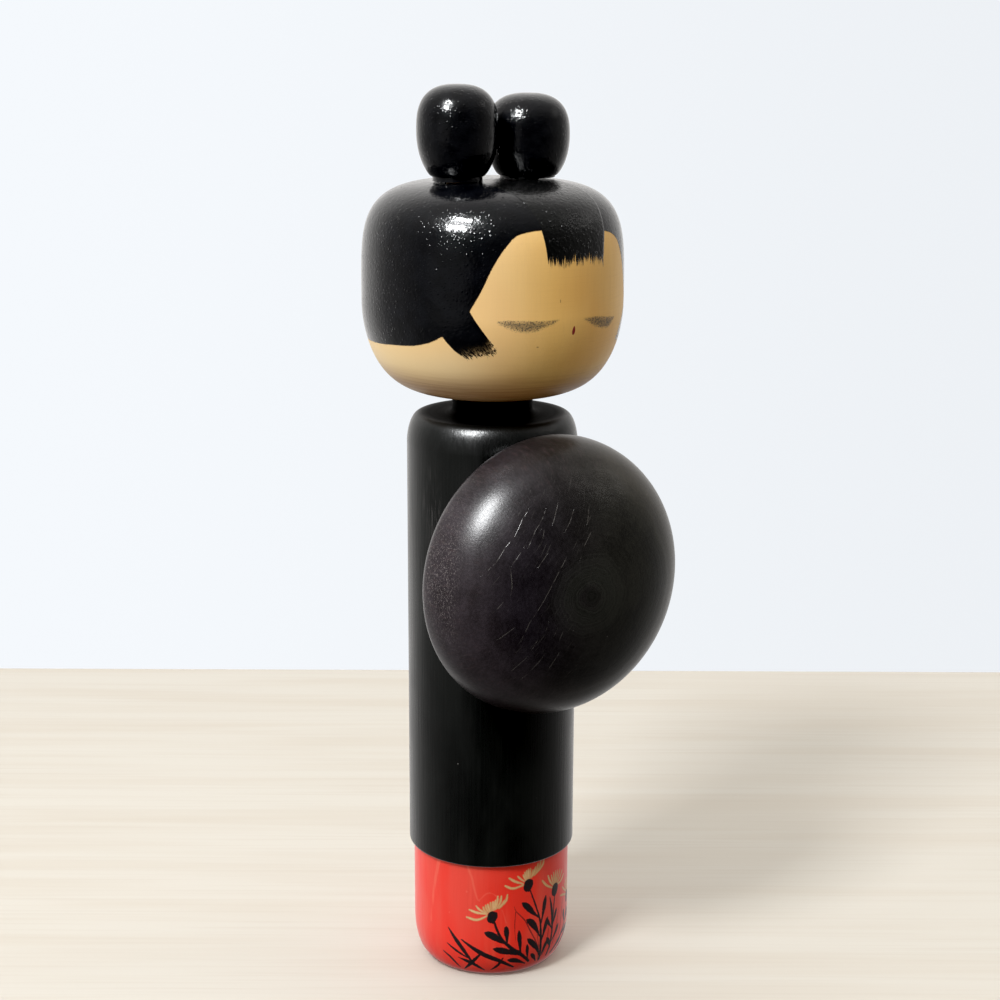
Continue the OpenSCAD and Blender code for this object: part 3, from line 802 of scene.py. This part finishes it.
# ================================================================ hair buns
def bun(name, side, r, h, low, foot, foot_r, base, er, ez):
    belly = moved(quarter(r - base, low - foot, er, ez)[::-1], base, low, 1, -1)
    topq = moved(quarter(r, h - low, 2.6, 2.75), 0, low)
    o = even(joined(belly, topq[1:]), 0.36)
    o[-1, 0] = 0.0
    o = joined([(0, 10.6), (3.03, 10.6), (3.03, 0.15), (3.18, 0.0), (foot_r, 0.0), (foot_r, foot)], o)
    o[:, 1] += 218.65
    return turned(name, o, np.arange(0, 360, 2.0), at_bun(side))


bun_r = bun("bun_right_turned", -1, 10.6, 24.5, 24.5 * 0.52, 1.2, 6.5, 6.8, 1.3, 2.1)
bun_l = bun("bun_left_turned", 1, 11.1, 21.8, 21.8 * 0.483, 0.5, 7.3, 7.6, 1.35, 1.95)
m = Mat("bun_black_lacquer", rough=0.2, spec=0.47)
speck, bead = beads(m)
coarse = m.noise(m.P, 0.30, 2.0, 0.5)
rings = m.noise(m.stretched(0.10, 0.10, 1.3), 1.0, 2.0, 0.6)
m.set("Base Color", m.mix(m.step(coarse, 0.35, 0.7), (0.0018, 0.0019, 0.0026), (0.0042, 0.0045, 0.0058)))
m.set("Roughness", m.lerp(coarse, 0.10, 0.18))
m.set("Normal", m.bump(m.add(m.mul(speck, 0.50), m.add(m.mul(bead, 0.85), m.mul(rings, 0.3))), 0.075, 1.0,
                       m.bump(coarse, 0.07)))
give(bun_r, m)
give(bun_l, m)

# ================================================================ hat
az_hat = np.arange(0, 360, 0.75)
back_edge = moved(quarter(4.2, 4.2, 2, 2)[::-1], 37.2 - 4.2, 4.2, 1, -1)
dome = moved(quarter(37.2, 23.8, 2.11, 2.14, 90.0, 1600), 0, 4.2)
o = even(joined(back_edge, dome[1:]), 0.36)
o[-1, 0] = 0.0
hat = turned("hat_turned", joined([(0, 12), (4.03, 12), (4.03, 0.2), (4.23, 0), (12, 0), (20, 0), (27, 0)], o), az_hat,
             lambda q: np.stack([q[:, 0], -23.05 - q[:, 2], q[:, 1] + HAT_Z], 1))
p = points_of(hat)
flat = np.stack([p[:, 0], p[:, 2] - HAT_Z], 1)
outer = (p[:, 1] < -27.0)
# hairline cracks in the dome, listed by place across it and above its centre
cracks = [
    [(-16.9, 22.8), (-18.6, 21.0), (-21.2, 17.1), (-23.7, 14.5), (-26.4, 10.5)], [(-26.6, 10.5), (-29.1, 7.8)],
    [(-12.8, 22.4), (-14.6, 19.9), (-16.2, 18.2), (-18.3, 14.8)], [(-19.5, 14.4), (-22.8, 10.2)],
    [(-9.2, 23.7), (-10.4, 21.6), (-11.4, 19.7)], [(-14.1, 17.9), (-14.7, 16.3)], [(-5.5, 21.8), (-6.8, 19.7), (-8.5, 17.6)],
    [(-1.0, 21.5), (-2.1, 18.7)], [(-1.5, 16.4), (-3.9, 13.4), (-5.3, 10.3)],
    [(-9.2, 11.0), (-11.2, 8.2), (-12.9, 5.5), (-16.1, 0.0)], [(-14.3, 12.2), (-16.5, 9.6)],
    [(-16.1, 0.0), (-19.0, -4.7), (-20.5, -8.7)], [(-11.9, -7.4), (-12.3, -8.4)], [(-14.3, -5.6), (-14.7, -6.9)],
    [(-22.7, -6.0), (-25.6, -8.7)], [(-18.9, -14.6), (-21.3, -17.8)], [(-14.7, -14.7), (-15.8, -16.5), (-18.5, -20.5)],
    [(-10.6, -14.1), (-12.4, -18.0)], [(-6.4, -15.8), (-7.6, -17.8)], [(-23.2, 8.6), (-23.2, 4.8), (-23.5, 2.9)],
    [(-25.2, 1.0), (-27.0, -1.4)], [(-10.3, -8.4), (-10.9, -10.1)], [(-16.8, -10.0), (-17.7, -12.0)]]
best = np.full(len(p), 9.0)
signed = np.full(len(p), 9.0)
for c in cracks:
    c = np.asarray(c, float)
    for a, b in zip(c, c[1:]):
        t, dist = along(a, b, flat)
        e = b - a
        sgn = np.sign(e[0] * (flat[:, 1] - a[1]) - e[1] * (flat[:, 0] - a[0]))
        k = (dist < best) & outer
        best[k] = dist[k]
        signed[k] = (sgn * dist)[k]
store(hat, "crack", np.clip(signed, -3, 3))
store(hat, "crack_near", np.clip((1.0 - best) / 0.5, 0, 1))
rim_r = np.hypot(flat[:, 0], flat[:, 1])
ang = np.degrees(np.arctan2(flat[:, 1], flat[:, 0]))
worn = np.clip((rim_r - 33.5) / 2.0, 0, 1) * np.exp(-((((ang - 170) + 180) % 360 - 180) / 28.0) ** 2)
store(hat, "worn", worn)
store(hat, "rim", np.clip((rim_r - 26.0) / 11.0, 0, 1))
# how far towards the rim the colour below is painted lighter as painted reflection, less at the top under the head
store(hat, "outer", np.clip((rim_r - 20.0) / 15.0, 0, 1) * (1.0 - 0.62 * np.exp(-((ang - 100.0) / 42.0) ** 2)))

m = Mat("hat_dark_stain", rough=0.3, spec=0.26)
off = m.vec("SUBTRACT", m.P, (-2.3, 0.0, HAT_Z + 0.6))
ax = m.xyz(off)
warp = m.noise(m.P, 0.09, 3.0, 0.55)
warp2 = m.noise(m.P, 0.42, 2.0, 0.6)
rr = m.vec("LENGTH", m.combine(ax[0], m.mul(ax[2], 1.0)))
rr = m.add(rr, m.add(m.mul(m.sub(warp, 0.5), 5.0), m.mul(m.sub(warp2, 0.5), 0.25)))
ring = m.noise1(rr, 0.50, 1.5, 0.55)
ring_fine = m.noise1(m.add(rr, 50.0), 2.1, 2.0, 0.6)
pores = m.noise(m.vec("MULTIPLY", off, (2.6, 0.16, 2.6)), 1.0, 3.0, 0.65)
mottle = m.noise(m.vec("MULTIPLY", off, (0.16, 0.05, 0.11)), 1.0, 3.0, 0.6)
weave = m.noise(m.vec("MULTIPLY", off, (1.9, 0.6, 1.2)), 1.0, 4.0, 0.75)
near = m.step(rr, 16.0, 4.0)
tone = m.add(m.mul(m.step(ring, 0.38, 0.66), m.lerp(near, 0.14, 0.34)), m.add(m.mul(m.step(ring_fine, 0.42, 0.68), m.lerp(near, 0.05, 0.55)),
             m.add(m.mul(m.step(mottle, 0.36, 0.66), 0.42), m.mul(m.step(weave, 0.42, 0.62), 0.36))))
# the tints by side and the lighter colours towards the rim are painted reflection of the room: bluish-purple on the
# left, greenish on the right
side = m.step(ax[0], -24.0, 20.0)
rim_reflection = m.step(m.attr("outer"), 0.0, 1.0)
dark = m.mix(rim_reflection, m.mix(side, (0.0050, 0.0036, 0.0050), (0.0054, 0.0050, 0.0036)), m.mix(side, (0.0185, 0.0142, 0.0160), (0.0265, 0.0222, 0.0155)))
light = m.mix(rim_reflection, m.mix(side, (0.0165, 0.0130, 0.0182), (0.0180, 0.0178, 0.0128)), m.mix(side, (0.0420, 0.0332, 0.0395), (0.0530, 0.0445, 0.0310)))
col = m.mix(tone, dark, light)
heart = m.step(rr, 2.4, 1.2)
halo = m.mul(m.step(rr, 1.6, 4.6), m.step(rr, 14.0, 5.0))
col = m.mix(m.mul(halo, m.lerp(m.step(ring_fine, 0.38, 0.62), 0.24, 0.55)), col, (0.0215, 0.0235, 0.0185))
col = m.mix(m.mul(heart, 0.55), col, (0.0060, 0.0065, 0.0050))
col = m.mix(m.mul(m.step(pores, 0.55, 0.80), 0.25), col, (0.0040, 0.0034, 0.0036))
rim = m.attr("rim")
rimline = m.noise(m.combine(m.mul(m.f("ARCTAN2", ax[2], ax[0]), 36.0), m.mul(ax[1], 0.28)), 1.0, 3.0, 0.7)
col = m.mix(m.mul(m.mul(rim, m.step(rimline, 0.50, 0.74)), 0.55), col, (0.052, 0.034, 0.036))
wornm = m.mul(m.attr("worn"), m.step(m.noise(m.stretched(3.6, 3.6, 1.6), 1.0, 3.0, 0.75), 0.54, 0.64))
col = m.mix(m.mul(wornm, 0.70), col, (0.19, 0.165, 0.16))
# short scratches that run the same way as the cracks
along_s = m.add(m.mul(ax[0], 0.56), m.mul(ax[2], 0.83))
across = m.sub(m.mul(ax[0], 0.83), m.mul(ax[2], 0.56))
scratch = m.noise(m.combine(m.mul(across, 3.0), m.mul(along_s, 0.17), m.mul(ax[1], 0.2)), 1.0, 3.0, 0.68)
scratch = m.mul(m.step(scratch, 0.615, 0.675), m.mul(m.step(m.noise(m.P, 0.13, 2.0, 0.5), 0.40, 0.60), m.step(ax[0], 12.0, -4.0)))
col = m.mix(m.mul(scratch, 0.30), col, (0.085, 0.079, 0.072))
crack_break = m.step(m.noise(m.P, 0.55, 2.0, 0.6), 0.34, 0.56)
crack = m.mul(m.step(m.f("ABSOLUTE", m.attr("crack")), 0.13, 0.02), m.mul(m.attr("crack_near"), crack_break))
col = m.mix(m.mul(crack, 0.42), col, (0.135, 0.124, 0.112))
d, tint = m.cells(m.P, 0.22)
dust = m.mul(m.step(d, 0.040, 0.020), m.step(m.xyz(tint)[1], 0.72, 0.76))
col = m.mix(m.mul(dust, 0.35), col, (0.25, 0.24, 0.22))
m.set("Base Color", col)
m.set("Roughness", m.add(m.lerp(tone, 0.275, 0.335), m.mul(m.step(pores, 0.5, 0.75), 0.10)))
grain_h = m.add(m.mul(ring, 0.55), m.add(m.mul(ring_fine, 0.25), m.mul(pores, -0.5)))
n1 = m.bump(m.mul(crack, -1.0), 0.035)
n2 = m.bump(grain_h, 0.045, 1.0, n1)
m.set("Normal", m.bump(m.noise(m.P, 1.5, 2.0, 0.6), 0.014, 1.0, n2))
give(hat, m, (lying, lambda c: (np.hypot(c[:, 0], c[:, 2] - HAT_Z) < 4.05) & (c[:, 1] > -35.3)))

# ================================================================ dowel and pegs, as the CAD made them
for n in ("neck_dowel", "bun_peg_right", "bun_peg_left"):
    give(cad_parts[n], upright)
give(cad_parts["hat_peg"], lying)

for piece, node, bodyname, slot in ((foot, "red_foot", "doll_body", "foot_red"), (body, "kimono_body", "doll_body", "kimono_black"),
                                    (head, "head", "head", "face_wood"), (bun_r, "bun_right", "head", "hair_black"),
                                    (bun_l, "bun_left", "head", "hair_black"), (hat, "hat", "doll_body", "hat_brown")):
    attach(piece, bodyname)
    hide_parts(node)

# ================================================================ stage
FWD = Vector((0.5217, 0.8188, -0.2394))
RGT = Vector((0.8434, -0.5373, 0.0))
back = Vector((FWD.x, FWD.y, 0)).normalized()       # away from the camera, along the floor
right = Vector((back.y, -back.x, 0))


def spot(az, el, dist, aim=Vector((0, 0, 0.12))):
    """A place az degrees round from the camera (positive to its right) and el degrees up."""
    a = (az - VIEW_AZ) * D2R
    e = el * D2R
    return aim + dist * Vector((math.cos(e) * math.sin(a), -math.cos(e) * math.cos(a), math.sin(e)))


me = bpy.data.meshes.new("table")
y1, y0, hw = 0.246, -1.3, 1.5
ring_pts = [(-hw, y0), (hw, y0), (hw, y1), (-hw, y1)]
verts = [(*(right * a + back * b).xy, 0.0) for a, b in ring_pts] + [(*(right * a + back * (b + (0.003 if b > 0 else 0))).xy, -0.03) for a, b in ring_pts]
me.from_pydata(verts, [], [(0, 1, 2, 3), (7, 6, 5, 4), (0, 4, 5, 1), (1, 5, 6, 2), (2, 6, 7, 3), (3, 7, 4, 0)])
table = bpy.data.objects.new("table", me)
bpy.context.scene.collection.objects.link(table)
m = Mat("table_pale", rough=0.5, spec=0.3)
q = m.xyz(m.P)
across = m.f("ADD", m.mul(q[0], back.x), m.mul(q[1], back.y))
alongt = m.f("ADD", m.mul(q[0], right.x), m.mul(q[1], right.y))
plank = m.noise(m.combine(m.mul(alongt, 0.0045), m.mul(across, 0.075)), 1.0, 3.0, 0.55, 0.5)
fine = m.noise(m.combine(m.mul(alongt, 0.010), m.mul(across, 0.62)), 1.0, 3.0, 0.6)
col = m.mix(m.step(plank, 0.38, 0.70), (0.560, 0.524, 0.466), (0.532, 0.484, 0.418))
col = m.mix(m.mul(m.step(fine, 0.46, 0.72), 0.50), col, (0.508, 0.456, 0.392))
m.set("Base Color", col)
give(table, m)
table.visible_glossy = False
table.visible_diffuse = False
foot.visible_glossy = False          # its red would show in the hat's underside as a bright spot


def lamp(name, az, el, dist, size, power, colour, size_y, gloss):
    ld = bpy.data.lights.new(name, "AREA")
    ld.shape = "RECTANGLE"
    ld.size, ld.size_y = size, size_y
    ld.energy, ld.color = power, colour
    ob = bpy.data.objects.new(name, ld)
    ob.location = spot(az, el, dist)
    ob.rotation_euler = (Vector((0, 0, 0.13)) - ob.location).to_track_quat("-Z", "Y").to_euler()
    ob.visible_camera = False
    ob.visible_glossy, ob.visible_diffuse = gloss, not gloss
    bpy.context.scene.collection.objects.link(ob)
    return ob


# each studio light is a pair: a wide one for the matt colours, and its bright core, which the lacquer mirrors
lamp("key", -36, 47, 1.3, 0.30, 14.3, (0.96, 0.98, 1.0), 0.26, False)
lamp("key_core", -36, 47, 1.3, 0.31, 60.0, (0.97, 0.99, 1.0), 0.46, True)
lamp("side", 98, 36, 1.5, 0.50, 1.8, (1.0, 0.97, 0.92), 0.50, False)
lamp("side_core", 98, 36, 1.5, 0.17, 2.9, (1.0, 0.98, 0.95), 0.17, True)

world = bpy.data.worlds.new("studio")
bpy.context.scene.world = world
world.use_nodes = True
wt = world.node_tree
wt.nodes.clear()


def wn(kind, **kw):
    n = wt.nodes.new(kind)
    for k, val in kw.items():
        setattr(n, k, val)
    return n


w_out = wn("ShaderNodeOutputWorld")
w_tc = wn("ShaderNodeTexCoord")


def w_dot(vec):
    n = wn("ShaderNodeVectorMath", operation="DOT_PRODUCT")
    wt.links.new(w_tc.outputs["Generated"], n.inputs[0])
    n.inputs[1].default_value = vec
    return n.outputs["Value"]


def w_step(x, a, b, lo, hi):
    n = wn("ShaderNodeMapRange", interpolation_type="SMOOTHSTEP")
    wt.links.new(x, n.inputs["Value"])
    for k, val in (("From Min", a), ("From Max", b), ("To Min", lo), ("To Max", hi)):
        n.inputs[k].default_value = val
    return n.outputs[0]


def w_math(op, a, b):
    n = wn("ShaderNodeMath", operation=op)
    for i, val in enumerate((a, b)):
        if isinstance(val, (int, float)):
            n.inputs[i].default_value = val
        else:
            wt.links.new(val, n.inputs[i])
    return n.outputs[0]


def w_bg(colour, strength):
    n = wn("ShaderNodeBackground")
    n.inputs["Color"].default_value = (*colour, 1)
    if isinstance(strength, (int, float)):
        n.inputs["Strength"].default_value = strength
    else:
        wt.links.new(strength, n.inputs["Strength"])
    return n.outputs[0]


behind = w_dot(tuple(back))                 # 1 straight behind the doll, -1 towards the camera
to_left = w_dot(tuple(-right))
up = w_dot((0, 0, 1))
window = w_dot(tuple(spot(-38, 0, 1.0, Vector((0, 0, 0)))))


def w_sum(*terms):
    out = terms[0]
    for t in terms[1:]:
        out = w_math("ADD", out, t)
    return out


# what mirrors in the lacquer: bright walls behind, a dim room in front, a glow under the window
mirror = w_math("MULTIPLY", w_sum(w_step(behind, -0.95, 0.40, 0.042, 0.38), w_step(behind, 0.15, 0.85, 0.0, 0.72),
                                  w_step(window, 0.90, 0.995, 0.0, 0.16), w_step(up, 0.25, 0.95, 0.0, 0.24)),
                w_math("MULTIPLY", w_step(up, -0.95, -0.30, 0.5, 1.0), w_step(to_left, -1.0, 0.1, 0.68, 1.0)))
# what lights the matt surfaces: the same walls, a pale ceiling, and little from below
fill = w_sum(w_step(behind, -0.4, 0.8, 0.0, 0.52), w_step(up, 0.0, 0.95, 0.0, 0.52),
             w_math("MULTIPLY", w_step(to_left, -0.2, 1.0, 0.0, 0.66), w_step(up, -1.0, -0.3, 0.35, 1.0)))
low_fill = w_step(up, -0.45, 0.10, 0.05, 0.34)
seen = w_bg((0.914, 0.945, 0.982), w_step(to_left, -0.30, 0.25, 0.93, 1.0))
lp = wn("ShaderNodeLightPath")
mix1, mix2 = wn("ShaderNodeMixShader"), wn("ShaderNodeMixShader")
wt.links.new(lp.outputs["Is Glossy Ray"], mix1.inputs[0])
both = wn("ShaderNodeAddShader")
wt.links.new(w_bg((0.97, 0.99, 1.0), fill), both.inputs[0])
wt.links.new(w_bg((1.0, 0.91, 0.76), low_fill), both.inputs[1])
wt.links.new(both.outputs[0], mix1.inputs[1])
wt.links.new(w_bg((1.0, 0.98, 0.96), mirror), mix1.inputs[2])
wt.links.new(lp.outputs["Is Camera Ray"], mix2.inputs[0])
wt.links.new(mix1.outputs[0], mix2.inputs[1])
wt.links.new(seen, mix2.inputs[2])
wt.links.new(mix2.outputs[0], w_out.inputs["Surface"])

# ---------------------------------------------------------------- camera
cam_d = bpy.data.cameras.new("camera")
cam_d.lens, cam_d.sensor_width = 72.0, 36.0
cam_d.clip_start, cam_d.clip_end = 0.01, 20.0
cam_d.shift_x = -0.0018
cam = bpy.data.objects.new("camera", cam_d)
roll = 0.22 * D2R
upv = RGT.cross(FWD).normalized()
rr_ = (RGT * math.cos(roll) + upv * math.sin(roll)).normalized()
uu_ = (upv * math.cos(roll) - RGT * math.sin(roll)).normalized()
rot = Matrix((rr_, uu_, -FWD.normalized())).transposed()
cam.matrix_world = Matrix.Translation((-0.2814, -0.4466, 0.26225)) @ rot.to_4x4()
bpy.context.scene.collection.objects.link(cam)
bpy.context.scene.camera = cam

vs = bpy.context.scene.view_settings
vs.view_transform = "Standard"
vs.look = "None"
vs.use_curve_mapping = True
vs.curve_mapping.black_level = (0.003, 0.003, 0.003)
vs.curve_mapping.update()
